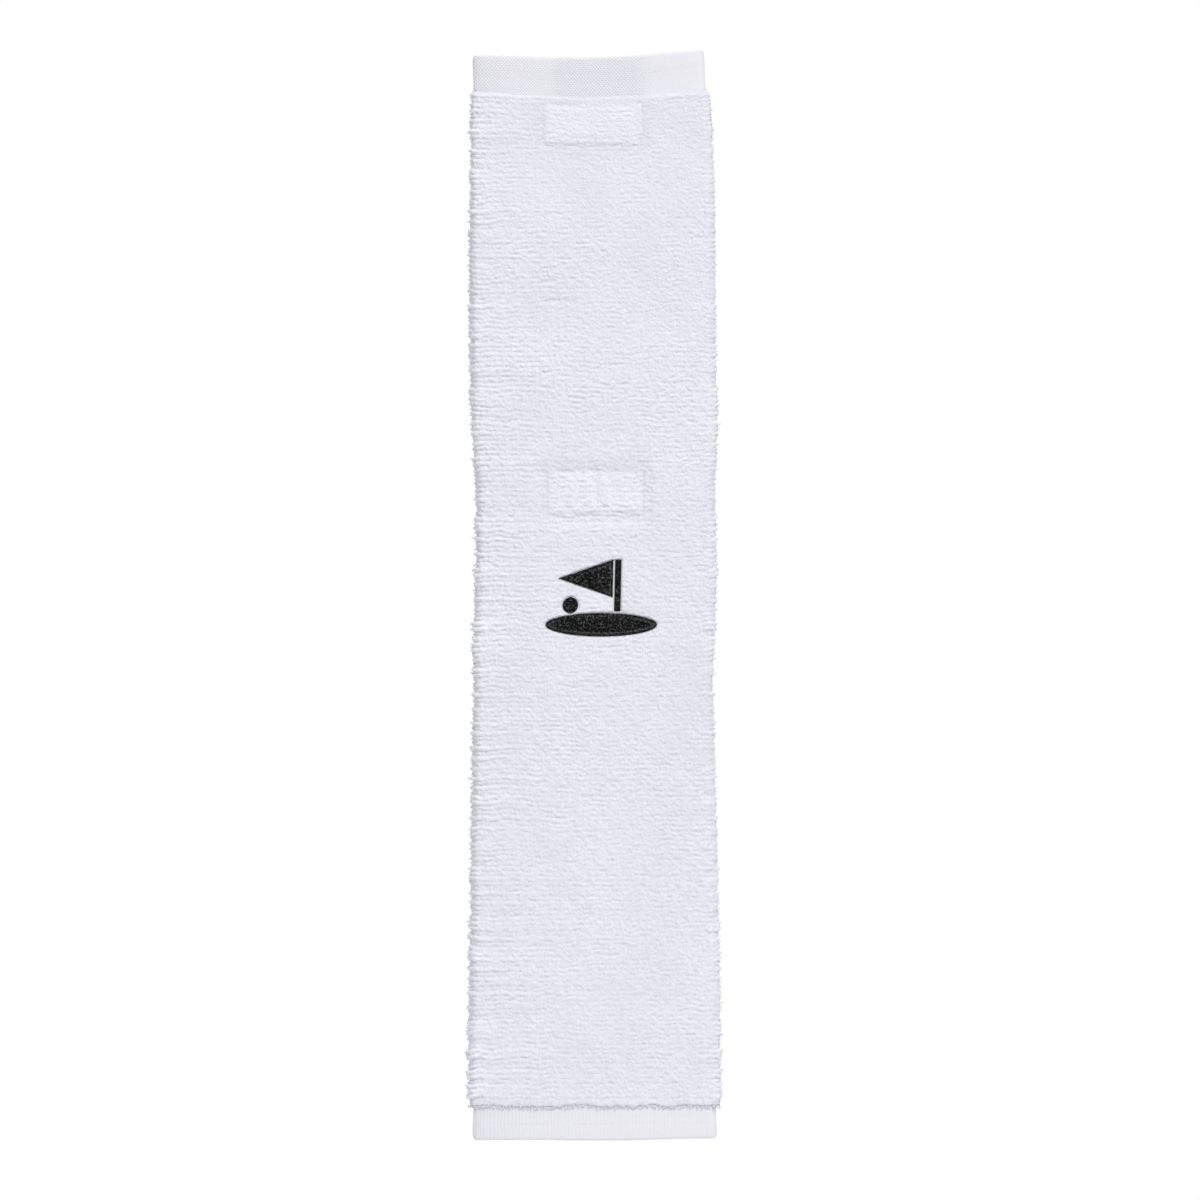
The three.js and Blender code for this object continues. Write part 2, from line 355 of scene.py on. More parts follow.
def near_sides(x, z, patch, depths):
    """How near a point is to the left, right, bottom and top lines of stitches, by their depths."""
    middle_x, middle_z, half_x, half_z = middle_and_half(patch, STITCH_INSET)
    x, z = x - middle_x, z - middle_z
    beyond_x, beyond_z = np.maximum(np.abs(x) - half_x, 0), np.maximum(np.abs(z) - half_z, 0)
    total = np.zeros_like(x)
    for depth, away in zip(depths, (x + half_x, x - half_x, z + half_z, z - half_z)):
        total = np.maximum(total, depth * bell(away, GROOVE_WIDTH))
    return total * bell(np.hypot(beyond_x, beyond_z), GROOVE_WIDTH)


def near_frame(x, z, patch):
    """Signed distance inwards from a patch's rectangle of stitches."""
    middle_x, middle_z, half_x, half_z = middle_and_half(patch, STITCH_INSET)
    return np.minimum(half_x - np.abs(x - middle_x), half_z - np.abs(z - middle_z))


CREASES = (  # middle x and z, half length, half breadth, slope, depth
    (-24.5, 15.2, 4.0, 0.9, 0.06, 0.9),
    (-19.0, 3.6, 8.5, 0.9, 0.06, 0.9),
    (-14.0, 116.0, 8.5, 0.7, 0.02, 0.7),
    (28.6, 107.0, 1.1, 11.0, 0.0, 0.6),
    (-2.0, 96.4, 21.0, 0.6, 0.01, 0.5),
    (-1.0, 92.9, 20.0, 0.6, 0.0, 0.5),
    (-18.0, -91.7, 5.5, 0.7, 0.0, 1.1),
    (25.0, -86.0, 6.5, 0.6, -0.12, 0.5),
    (4.0, -111.8, 20.0, 0.5, 0.0, 0.4),
    (8.0, -115.2, 17.0, 0.6, 0.0, 0.5),
    (-20.0, -118.2, 6.0, 0.6, 0.02, 0.5),
    (36.0, -110.5, 3.0, 1.2, 0.0, 0.5),
)


def crease_depth(x, z):
    """How far the creases sink the front of the pile."""
    depth = np.zeros_like(x)
    for middle_x, middle_z, half, breadth, slope, sunk in CREASES:
        rise = z - middle_z - slope * (x - middle_x) - 0.7 * drift(x, z, 6, 25)
        depth += sunk * bell(rise, breadth) * np.exp(-(((x - middle_x) / half) ** 4))
    return depth


def pile_height(t, x, z, on_front):
    """Height of the pile above the sheet's middle, in millimetres."""
    left_fold = bell(t - LEFT_MIDDLE, 5.5)
    right_fold = bell(t - RIGHT_MIDDLE, 6.5)
    near_left, left_part = (np.where(on_front, bell(x + HALF_WIDTH, width), 0) for width in (13, 34))
    tall = 1.05 + 0.16 * drift(t, z, 34, 7) + 0.14 * drift(t, z, 11, 8) + 0.5 * left_fold
    tall = tall + 0.35 * right_fold + 0.3 * near_left - 0.36 * smooth_step(-60, 100, z)
    pressed = np.where(on_front, smooth_step(34, 24, np.abs(x - 2)) * smooth_step(112, 116.5, z), 0)
    tall = tall * (1 - 0.35 * pressed) * np.where(t > RIGHT_MIDDLE + 8, 0.72, 1)
    relief = loop_relief(t, z, left_fold + 1.0 * right_fold + 0.5 * left_part)
    height = PILE_BASE + tall * relief - 0.45 * left_fold
    beside_hem = 0.75 * smooth_step(114, 117, z)
    for seed, patch, depths in ((23, HOOK, (0.25, 0.8, 0.75, 0.1)), (27, LOOP, (0.45, 0.7, 0.8, 0.5))):
        inside = near_frame(x, z, patch)
        uneven = smooth_step(-0.5, 0.7, drift(x, z, 5, seed))
        groove = near_sides(x, z, patch, depths) * uneven
        dip = 0.26 * bell(inside, np.where(inside < 0, 6.0, 2.4))
        raised = 0.34 * smooth_step(-1.0, 4, inside)
        height = height + np.where(on_front, raised - (dip + groove) * (1 - beside_hem), 0)
        under_tape = within(x, z, patch, 0.3)
        height = np.where(on_front | ~under_tape, height, np.minimum(height, 0.5))
    for shape in EMBLEM.values():
        height = np.where(on_front, height - 1.1 * shape.closeness(x, z), height)
    creased = crease_depth(x, z) * (0.75 + 0.5 * drift(x, z, 3.5, 29))
    return np.where(on_front, height - creased, height)


# ---------- the embroidered shapes
class Shape:
    """A flat embroidered shape, given by its outline in x and z, counter-clockwise from the front."""

    def __init__(self, node, corners):
        self.node = node
        self.low, self.high = node_box(node)
        self.outline = np.array(corners, float)
        self.ends = np.roll(self.outline, -1, axis=0)
        self.sides = tuple(zip(self.outline, self.ends))

    def inward(self, x, z):
        """Distance in from the outline, negative outside it."""
        nearest = np.full(np.shape(x), 1e9)
        inside = np.zeros(np.shape(x), bool)
        for (ax, az), (bx, bz) in self.sides:
            ex, ez = bx - ax, bz - az
            along = np.clip(((x - ax) * ex + (z - az) * ez) / (ex * ex + ez * ez), 0, 1)
            nearest = np.minimum(nearest, np.hypot(x - ax - along * ex, z - az - along * ez))
            if ez:
                crossed = ((az > z) != (bz > z)) & (x < ax + (z - az) * ex / ez)
                inside ^= crossed
        return np.where(inside, nearest, -nearest)

    def closeness(self, x, z):
        """1 on the shape, fading to 0 a little way outside it."""
        near = within(x, z, (self.low, self.high), 3)
        result = np.zeros_like(x)
        result[near] = smooth_step(-0.75, -0.1, self.inward(x[near], z[near]))
        return result


def round_shape(node, count):
    middle_x, middle_z, half_x, half_z = middle_and_half(node_box(node))
    angles = np.arange(count) * 2 * math.pi / count
    return Shape(node, [(middle_x + half_x * math.cos(a), middle_z + half_z * math.sin(a)) for a in angles])


def emblem_shapes():
    (left, _, low), (right, _, high) = node_box("emblem_flag")
    flag = Shape("emblem_flag", [(right, low), (right, high), (left, (low + high) / 2)])
    (left, _, low), (right, _, high) = node_box("emblem_pole")
    pole = Shape("emblem_pole", [(left, low), (right, low), (right, high), (left, high)])
    green, ball = round_shape("emblem_green", 56), round_shape("emblem_ball", 24)
    return {"flag": flag, "pole": pole, "green": green, "ball": ball}


EMBLEM = emblem_shapes()


# ---------- how the cloth lies
# Height, then the left and right edges of the folded towel, which isn't quite straight.
EDGE_LINE = (
    (146, -69.6, 63.6),
    (121, -69.4, 65.8),
    (111, -69.3, 66.8),
    (66, -69.6, 68.5),
    (33, -70.4, 69.0),
    (-35, -69.7, 69.2),
    (-69, -68.7, 70.4),
    (-102, -66.6, 68.6),
    (-136, -66.0, 69.5),
    (-170, -67.6, 69.4),
    (-203, -67.5, 67.2),
    (-271, -68.9, 69.0),
    (-338, -69.4, 70.6),
    (-372, -69.9, 71.3),
    (-406, -71.0, 71.8),
    (-440, -70.2, 71.8),
    (-470, -70.3, 72.4),
)
# x, then how far the loops' top line, the top edge, the loops' bottom line and the bottom edge
# rise above a straight line across. Each edge's rise adds to that of the line next to it.
RISES = (
    (-69, 1.1, 0.2, 1.1, 0.0),
    (-45, -0.3, 1.2, 1.1, -0.1),
    (-17, -1.6, 1.5, 1.1, -0.2),
    (0, -2.2, 2.2, 1.1, -0.2),
    (30, -1.0, 2.5, 1.1, 0.4),
    (69, 1.8, 3.6, 1.1, 1.4),
)


def edge_at(z, side):
    heights = [row[0] for row in EDGE_LINE][::-1]
    places = [row[side] for row in EDGE_LINE][::-1]
    return sum(np.interp(z + step, heights, places) for step in (-12, -6, 0, 6, 12)) / 5


class Slack:
    """A coarse cloth pad the size of the folded towel, held at its hems, all over its back, and more
    loosely at the patches and the emblem, and puffed a little. It is simulated at a hundredth of its
    size in millimetres, and the finer pieces are carried by how far its front moves."""

    CELL = 5.0  # size of the pad's faces
    MOST = 1.3  # how far a point may move
    UNIT = 100  # millimetres in one unit of the simulation
    STEPS = 20

    def __init__(self):
        self.columns = round(2 * HALF_WIDTH / self.CELL)
        self.rows = round((TOP - BOTTOM) / self.CELL)
        self.moved = np.zeros((2, self.rows + 1, self.columns + 1, 3))
        self.run()

    def run(self):
        form = grid(self.columns, self.rows)
        bmesh.ops.extrude_face_region(form, geom=form.faces[:])
        form.verts.ensure_lookup_table()
        u, v = shares_of(form)
        side = np.arange(len(u)) // ((self.columns + 1) * (self.rows + 1))
        column = np.rint(u * self.columns).astype(int)
        row = np.rint(v * self.rows).astype(int)
        x = points_of(form)[:, 0] * 2 * HALF_WIDTH
        z = BOTTOM + v * (TOP - BOTTOM)
        y = np.where(side == 0, FRONT_Y, OUTER_Y)
        rest = np.stack([x, y, z], axis=1)
        set_points(form, rest / self.UNIT)
        bmesh.ops.recalc_face_normals(form, faces=form.faces[:])
        # The walls come in no fixed order, and the simulation's result would change with it.
        form.verts.index_update()
        for parts in (form.edges, form.faces):
            parts.sort(key=lambda part: corner_key(part, len(rest)))
        pad = new_piece("slack_pad", form)
        held = pad.vertex_groups.new(name="held")
        for index, point in enumerate(rest):
            weight = self.hold(point)
            if weight > 0:
                held.add([index], weight, "REPLACE")
        cloth = pad.modifiers.new("Cloth", "CLOTH")
        for name, value in (
            ("quality", 6),
            ("mass", 0.2),
            ("tension_stiffness", 12),
            ("compression_stiffness", 12),
            ("shear_stiffness", 4),
            ("bending_stiffness", 0.6),
            ("use_pressure", True),
            ("uniform_pressure_force", 2.0),
            ("shrink_min", -0.035),
            ("vertex_group_mass", "held"),
        ):
            setattr(cloth.settings, name, value)
        cloth.settings.effector_weights.gravity = 0
        cloth.collision_settings.use_collision = False
        scene = bpy.context.scene
        for step in range(self.STEPS):
            scene.frame_set(step + 1)
        shown = pad.evaluated_get(bpy.context.evaluated_depsgraph_get())
        final = np.empty(len(rest) * 3)
        shown.data.vertices.foreach_get("co", final)
        change = final.reshape(-1, 3) * self.UNIT - rest
        change[:, 0] = 0
        change[:, 2] = 0
        scene.frame_set(1)
        size = np.linalg.norm(change, axis=1, keepdims=True)
        reach = self.MOST * np.tanh(size / self.MOST)
        self.moved[side, row, column] = change / np.maximum(size, 1e-9) * reach
        bpy.data.objects.remove(pad)

    def hold(self, point):
        """How firmly a point of the pad is held, from 0 to 1."""
        x, y, z = point
        if y > INNER_Y or z > TERRY_TOP or z < TERRY_BOTTOM:
            return 1.0
        for patch in (HOOK, LOOP):
            if near_frame(x, z, patch) > -2.6:
                return 0.7
        return 0.5 if any(within(x, z, (shape.low, shape.high), 2) for shape in EMBLEM.values()) else 0.0

    def carry(self, points):
        """How far each point moves with the pad."""
        x, y, z = points.T
        u = np.clip((x + HALF_WIDTH) / (2 * HALF_WIDTH), 0, 1) * self.columns
        v = np.clip((z - BOTTOM) / (TOP - BOTTOM), 0, 1) * self.rows
        i = np.clip(np.floor(u).astype(int), 0, self.columns - 1)
        j = np.clip(np.floor(v).astype(int), 0, self.rows - 1)
        fu, fv = eased((u - i)[:, None]), eased((v - j)[:, None])
        sides = []
        for moved in self.moved:
            low = moved[j, i] * (1 - fu) + moved[j, i + 1] * fu
            high = moved[j + 1, i] * (1 - fu) + moved[j + 1, i + 1] * fu
            sides.append(low * (1 - fv) + high * fv)
        depth = np.clip((y - FRONT_Y) / (OUTER_Y - FRONT_Y), 0, 1)[:, None]
        away = smooth_step(0, 45, np.minimum(TERRY_TOP - 26 - z, z - TERRY_BOTTOM))[:, None]
        return away * (sides[0] * (1 - depth) + sides[1] * depth)


def lie(points):
    """Moves points of the flat folded shape to where the real cloth lies."""
    points = np.array(points, float)
    x, y, z = points.T
    moved = points + SLACK.carry(points)
    left, right = edge_at(z, 1), edge_at(z, 2)
    moved[:, 0] += left + (x + HALF_WIDTH) / (2 * HALF_WIDTH) * (right - left) - x
    depth = np.clip((y - FRONT_Y) / (OUTER_Y - FRONT_Y), 0, 1)
    calm = 0.35 + 0.65 * smooth_step(0, 40, np.minimum(TOP - z, z - BOTTOM))
    front = 0.4 * drift(x, z, 37, 71) + 0.15 * drift(x + 0.6 * z, z - 0.5 * x, 19, 72)
    back = 0.32 * drift(x, z, 41, 73) + 0.16 * drift(x - 0.5 * z, z + 0.4 * x, 21, 74) - 0.5
    for patch in (HOOK, LOOP):
        back = back * smooth_step(-2, -14, near_frame(x, z, patch))
    droop = 0.3 * bell(x + HALF_WIDTH, 6)
    moved[:, 1] += (calm * front + droop) * (1 - depth) + calm * back * depth
    places, *rises = zip(*RISES)
    shares = (
        smooth_step(70, TERRY_TOP, z),
        smooth_step(TERRY_TOP, TOP, z),
        smooth_step(-380, TERRY_BOTTOM, z),
        smooth_step(TERRY_BOTTOM, BOTTOM, z),
    )
    for rise, share in zip(rises, shares):
        moved[:, 2] += np.interp(x, places, rise) * share
    return moved


def lay(form, *xyz):
    """Lays a form's points as the cloth lies, in metres, from where they are or from x, y and z."""
    set_points(form, lie(np.stack(xyz, axis=1) if xyz else points_of(form)) * MM)


SLACK = Slack()


# ---------- materials
class Value:
    """A number, colour or direction on its way through a finish."""

    def __init__(self, finish, socket):
        self.finish = finish
        self.socket = socket

    def math(self, operation, *terms):
        return self.finish.node("ShaderNodeMath", {"operation": operation}, dict(enumerate(terms)))

    def __add__(self, other):
        return self.math("ADD", self, other)

    def __sub__(self, other):
        return self.math("SUBTRACT", self, other)

    def __mul__(self, other):
        return self.math("MULTIPLY", self, other)

    def __rsub__(self, other):
        return self.math("SUBTRACT", other, self)

    __radd__ = __add__
    __rmul__ = __mul__


class Finish:
    """One material: its shader, and the nodes that vary it over the surface."""

    def __init__(self, name, constants=None):
        self.material = bpy.data.materials.new(name)
        self.material.use_nodes = True
        self.tree = self.material.node_tree
        self.shader = self.tree.nodes["Principled BSDF"]
        self.feed(self.shader, constants or {})

    def feed(self, node, values):
        for key, value in values.items():
            if isinstance(value, Value):
                self.tree.links.new(value.socket, node.inputs[key])
            else:
                node.inputs[key].default_value = value

    def node(self, kind, settings=None, values=None, output=0):
        made = self.tree.nodes.new(kind)
        for key, value in (settings or {}).items():
            if key == "stops":
                for stop, (position, color) in zip(made.color_ramp.elements, value):
                    stop.position, stop.color = position, color
            else:
                setattr(made, key, value)
        self.feed(made, values or {})
        return Value(self, made.outputs[output])

    def place(self):
        return self.node("ShaderNodeTexCoord", output="Object")

    def along_cloth(self):
        return self.node("ShaderNodeUVMap", {"uv_map": "cloth"})

    def stretched(self, place, x, y, z):
        return self.node("ShaderNodeMapping", values={"Vector": place, "Scale": (x, y, z)})

    def noise(self, place, scale, detail=2.0):
        return self.node("ShaderNodeTexNoise", values={"Vector": place, "Scale": scale, "Detail": detail})

    def wave(self, place, scale, distortion=0.0, direction="X"):
        return self.node(
            "ShaderNodeTexWave",
            {"bands_direction": direction},
            {"Vector": place, "Scale": scale, "Distortion": distortion},
            output="Fac",
        )

    def attribute(self, name):
        return self.node("ShaderNodeAttribute", {"attribute_name": name}, output="Fac")

    def tint(self, factor, low, high):
        return self.node(
            "ShaderNodeMix",
            {"data_type": "RGBA", "clamp_factor": True},
            {0: factor, 6: (*low, 1), 7: (*high, 1)},
            output=2,
        )

    def ply(self, place):
        """Slanting lines of twisted thread."""
        return self.wave(self.stretched(place, 1, 0.4, 1), 950, 1.5)

    def wear(self, color, roughness=None, height=None, depth=0.0002, strength=1.0):
        self.feed(self.shader, {"Base Color": color})
        if roughness is not None:
            self.feed(self.shader, {"Roughness": roughness})
        if height is not None:
            values = {"Height": height, "Distance": depth, "Strength": strength}
            self.feed(self.shader, {"Normal": self.node("ShaderNodeBump", values=values)})
        return self.material


# COTTON_LOW is darker yarn, and in the terry it is also the painted shade in the pits between loops.
COTTON_HIGH = (0.885, 0.885, 0.956)
COTTON_LOW = (0.715, 0.715, 0.795)


def terry_pile():
    finish = Finish("terry_pile", {"Sheen Weight": 0.2, "Specular IOR Level": 0.25})
    place = finish.place()
    yarn = finish.noise(place, 1700, 3)
    tufts = finish.noise(place, 900, 1)
    cloud = finish.noise(place, 45, 2)
    relief = finish.attribute("relief")
    # Painted shade: where the relief is low, in the pits and furrows between loops, the colour is darker.
    tone = finish.tint(relief * 0.7 + cloud * 0.25 + yarn * 0.2, COTTON_LOW, COTTON_HIGH)
    return finish.wear(tone, 0.9 + yarn * 0.08, tufts + yarn * 0.5, 0.0007, 0.72)


def ground_weave():
    finish = Finish("ground_weave", {"Sheen Weight": 0.1, "Specular IOR Level": 0.25})
    yarn = finish.noise(finish.place(), 900, 2)
    return finish.wear(finish.tint(yarn, COTTON_LOW, COTTON_HIGH), 0.88 + yarn * 0.1, yarn, 0.0002)


WEAVE_MARKS = ("clear", "painted_light", "dotted")


def hem_weave():
    """Fine ribs and dots across the band, as clear as the band is along its length, with painted light and
    shade that make it paler or darker along its length.
    """
    finish = Finish("hem_weave", {"Sheen Weight": 0.1, "Specular IOR Level": 0.3})
    cloth = finish.along_cloth()
    clear, painted_light, dotted = (finish.attribute(name) for name in WEAVE_MARKS)
    rib = finish.wave(cloth, 157, 0.25)
    slant = finish.wave(cloth, 330, 0.3, "DIAGONAL")
    counter_slant = finish.wave(finish.stretched(cloth, 1, -1, 1), 330, 0.3, "DIAGONAL")
    fuzz = finish.noise(finish.place(), 700, 3)
    height = (rib * (1 - dotted) + (1 - slant * counter_slant) * dotted) * clear + fuzz * 0.45
    # Painted light and shade: the second column of the weave tables makes the band's colour paler where
    # light falls and darker where it lies in shade.
    tone = finish.tint(painted_light * 0.7 + height * 0.5, (0.72, 0.72, 0.79), (0.85, 0.85, 0.89))
    return finish.wear(tone, 0.8 + fuzz * 0.12, height, 0.0003, 0.9)


def white_tape():
    finish = Finish("white_tape", {"Specular IOR Level": 0.4})
    place = finish.place()
    warp = finish.wave(finish.stretched(place, 1, 0, 0), 330, 0.3)
    weft = finish.wave(finish.stretched(place, 0, 0, 1), 420, 0.3, "Z")
    height = warp * 0.5 + weft * 0.5
    tone = finish.tint(height, (0.72, 0.72, 0.75), (0.86, 0.86, 0.88))
    return finish.wear(tone, 0.5 + weft * 0.2, height, 0.00012)


def white_nylon():
    finish = Finish("white_nylon")
    grain = finish.noise(finish.place(), 600, 2)
    return finish.wear(finish.tint(grain, (0.78, 0.78, 0.80), (0.88, 0.88, 0.9)), 0.35 + grain * 0.2)


def sewing_thread():
    """Twisted thread: fine slanting ply lines and a soft sheen, uneven from stitch to stitch."""
    finish = Finish("white_thread", {"Specular IOR Level": 0.5})
    place = finish.place()
    ply = finish.ply(place)
    fuzz = finish.noise(place, 1100, 2)
    tone = finish.tint(ply * 0.25 + (fuzz - 0.38) * 3.2, (0.74, 0.74, 0.78), (0.86, 0.86, 0.89))
    return finish.wear(tone, 0.5 + ply * 0.1 + fuzz * 0.2, ply * 0.4 + fuzz, 0.00012)


def embroidery_thread():
    """Black rayon: nearly black between the threads, with painted glints (specks of painted highlight in
    the base colour) and a painted highlight line where the satin edge meets the fill."""
    finish = Finish("black_thread", {"Specular IOR Level": 0.04})
    place = finish.place()
    ply = finish.ply(place)
    fuzz = finish.noise(place, 1300, 2)
    # Painted glints: sparse noise specks lift the base colour towards grey, as highlights on the stitches.
    glint = (finish.noise(place, 1000, 3) - 0.5) * 4
    # Painted highlight: a paler line in the base colour where the satin edge's inner ends meet the fill.
    painted_edge_highlight = finish.attribute("painted_edge_highlight")
    tone = (fuzz - 0.4) * 0.2 + finish.node("ShaderNodeClamp", values={0: glint}) * 0.8
    tone = finish.tint(tone + painted_edge_highlight * (0.35 + ply * 0.4), (0.0015, 0.0015, 0.0017), (0.15, 0.15, 0.155))
    return finish.wear(tone, 0.4 + fuzz * 0.2, fuzz, 0.00012)


def label_satin():
    finish = Finish("label_satin")
    place = finish.place()
    warp = finish.wave(finish.stretched(place, 1, 0, 0), 600, 0.2)
    grain = finish.noise(place, 400, 2)
    tone = finish.tint(grain, (0.84, 0.84, 0.84), (0.9, 0.9, 0.9))
    return finish.wear(tone, 0.3 + warp * 0.15, warp, 0.00005)


TERRY = terry_pile()
GROUND = ground_weave()
HEM = hem_weave()
TAPE = white_tape()
NYLON = white_nylon()
WHITE_THREAD = sewing_thread()
BLACK_THREAD = embroidery_thread()
LABEL = label_satin()
FLOOR = Finish("floor_paint", {"Roughness": 0.7}).wear((0.9, 0.9, 0.9, 1))


def finish_as(piece, material, body, slot, *nodes):
    """Gives a piece its material, its body and the nodes that it stands for. The slot argument is not used.
    """
    piece.data.materials.clear()
    piece.data.materials.append(material)
    if body == "both":
        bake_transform(piece)
    else:
        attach(piece, body)
    if nodes:
        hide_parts(*nodes)
    return piece


# ---------- cloth
def pile_places():
    """The places along t of the pile's columns: close on the front and its folds, wider on the back."""
    low, middle, high = MARKS[0] + 0.3, MARKS[3] - 1, MARKS[4] - SIDE_HEM - 0.2
    front = np.linspace(low, middle, round((middle - low) / FRONT_STEP) + 1)
    return np.concatenate([front, np.linspace(middle, high, round((high - middle) / BACK_STEP) + 1)[1:]])


def last_row(t):
    """How unevenly the last loops end, from 0 to 1, along the bottom of the pile."""
    return along_rows(t, 0.0, 9, 37)


def overhang(t, z, to_end):
    """How far the last loops reach over the bottom hem."""
    reach = (0.1 + 0.9 * along_rows(t, 0.0, 1.8, 35) + 1.5 * last_row(t)) * (z < 0)
    return reach * smooth_step(2.6, 0.5, to_end) * smooth_step(-0.1, 0.5, to_end)


def pile(name, z_low, z_high, body):
    """The looped surface of one length of the towel. Its end rows carry the normals they have with
    the next length in place, so that no line shows between the two."""
    places = pile_places()
    columns = len(places) - 1
    rows = round((z_high - z_low) / ROW_STEP)
    form = grid(columns, rows + 2)
    u, v = shares_of(form)
    t = places[np.rint(u * columns).astype(int)]
    row = np.rint(v * (rows + 2)) - 1
    z = z_low + row * (z_high - z_low) / rows
    on_front = (t > MARKS[0] + 2) & (t < MARKS[3] - 2)
    height = pile_height(t, section(t, 0.0, HALF)[0], z, on_front)
    to_end = np.minimum(z - TERRY_BOTTOM, TERRY_TOP - z)
    rounded = np.where(z > 0, smooth_step(-0.4, 2.2, to_end), np.sqrt(smooth_step(0, 1.2, to_end)))
    height = 0.3 + (height - 0.3) * rounded
    x, y = section(t, height, HALF)
    lay(form, x, y, z - overhang(t, z, to_end))
    form.normal_update()
    form.verts.ensure_lookup_table()
    border = {form.verts[i]: form.verts[i].normal.copy() for i in np.flatnonzero((row == 0) | (row == rows))}
    kept = (row >= 0) & (row <= rows)
    bmesh.ops.delete(form, geom=[form.verts[i] for i in np.flatnonzero(~kept)], context="VERTS")
    form.verts.index_update()
    normals = [(0.0, 0.0, 0.0)] * len(form.verts)
    for vertex, normal in border.items():
        normals[vertex.index] = normal
    piece = new_piece(name, form)
    piece.data.normals_split_custom_set_from_vertices(normals)
    # The relief mark paints shade into the terry's colour: low loops and pits come out darker.
    mark(piece, "relief", np.clip((height[kept] - 0.9) / 1.2, 0, 1))
    return finish_as(piece, TERRY, body, "terry")


def fringe():
    """Single loops that stand out from the two folds, and that hang over the bottom hem."""
    tall = bent_strand(0.24, 0.85, 0.32, math.pi, 4)
    short = bent_strand(0.28, 0.45, 0.4, math.pi, 4)
    form = bmesh.new()
    spacing = 1.1
    loops = []
    for side, middle in ((0, LEFT_MIDDLE), (1, RIGHT_MIDDLE)):
        for i in range(int((TERRY_TOP - TERRY_BOTTOM - 3) / LOOP_ROW)):
            for j in range(3):
                z = TERRY_BOTTOM + 1.5 + (i + 0.5 + 0.7 * (chance(i, j, 81 + side) - 0.5)) * LOOP_ROW
                t = middle + 6.6 * (chance(i, j, 83 + side) - 0.5)
                at_t, at_z = np.array([t]), np.array([z])
                rooted = pile_height(at_t, section(at_t, 0.0, HALF)[0], at_z, at_t > 0)[0] - 0.8
                loops.append((tall, t, z, rooted + 0.65 * chance(i, j, 85 + side), 0.0))
    for i in range(int((MARKS[4] - SIDE_HEM - MARKS[0]) / spacing)):
        t = MARKS[0] + (i + 0.5 + 0.8 * (chance(i, 0, 91) - 0.5)) * spacing
        z = TERRY_BOTTOM + 0.1 - 1.5 * last_row(t) - 0.7 * chance(i, 1, 91)
        loops.append((short, t, z, 0.5 + 0.3 * chance(i, 2, 91), -0.35))
    for i, (template, t, z, height, droop) in enumerate(loops):
        (x, near_x), (y, near_y) = section(np.array([t, t]), np.array([height, height + 1]), HALF)
        outwards = Vector((near_x - x, near_y - y, droop)).to_track_quat("Y", "Z").to_matrix().to_4x4()
        spin = Matrix.Rotation(2 * math.pi * chance(i, 0, 87), 4, "Y")
        size = Matrix.Scale(0.75 + 0.5 * chance(i, 0, 89), 4)
        stamp(form, template, Matrix.Translation((x, y, z)) @ outwards @ spin @ size)
    lay(form)
    piece = new_piece("standing_loops", form)
    # Standing loops get a high relief, so they carry little painted shade.
    mark(piece, "relief", np.full(len(piece.data.vertices), 0.8))
    return finish_as(piece, TERRY, "both", "terry")


def thicken(piece, thickness):
    wall = piece.modifiers.new("Solidify", "SOLIDIFY")
    wall.thickness = thickness * MM
    wall.offset = 0


def ground_cloth():
    """The woven sheet that carries the loops, one piece from flap edge to flap edge."""
    form = grid(150, 204)
    u, v = shares_of(form)
    x, y = section(1 + u * (SHEET_WIDTH - 2), 0.0, 0.0)
    lay(form, x, y, TERRY_BOTTOM + 0.4 + v * (TERRY_TOP - TERRY_BOTTOM - 5.2))
    cloth = new_piece("ground_cloth", form)
    thicken(cloth, 1.7)
    return finish_as(cloth, GROUND, "both", "terry", "main_terry_cloth", "upper_terry_cloth")


# Place across, then how clear the weave is, how much painted light (high) or painted shade (low) colours it,
# and how dotted rather than ribbed.
TOP_WEAVE = (
    (-69, 1.0, 0.0, 1.0),
    (-45, 0.8, 0.3, 0.9),
    (-25, 0.7, 0.3, 0.9),
    (-18, 1.0, -0.1, 0.9),
    (24, 0.9, 0.0, 0.9),
    (34, 0.3, 0.6, 0.8),
    (69, 0.12, 0.85, 0.6),
)
BOTTOM_WEAVE = ((-69, 0.6, 0.2, 0.1), (-40, 0.4, 0.5, 0.1), (0, 0.25, 0.7, 0.1), (69, 0.12, 0.75, 0.1))


def band_profile(edge, weave, away):
    """Half thickness and height of the band round its section, from the terry to the edge and back."""
    turn = edge - away * TURNED
    outer = [(0.5, weave - away * 5.5), (0.5, weave), (0.52, turn - away * 1.5), (0.68, turn + away * 1.0)]
    outer += [(0.7, turn + away * SEAM_INSET), (0.86, turn + away * 4), (0.9, edge - away * 2)]
    outer += [(0.78, edge - away * 0.7), (0.45, edge - away * 0.12), (0, edge)]
    line = np.array(outer + [(-offset, z) for offset, z in outer[-2::-1]] + outer[:1])
    return line[::away]


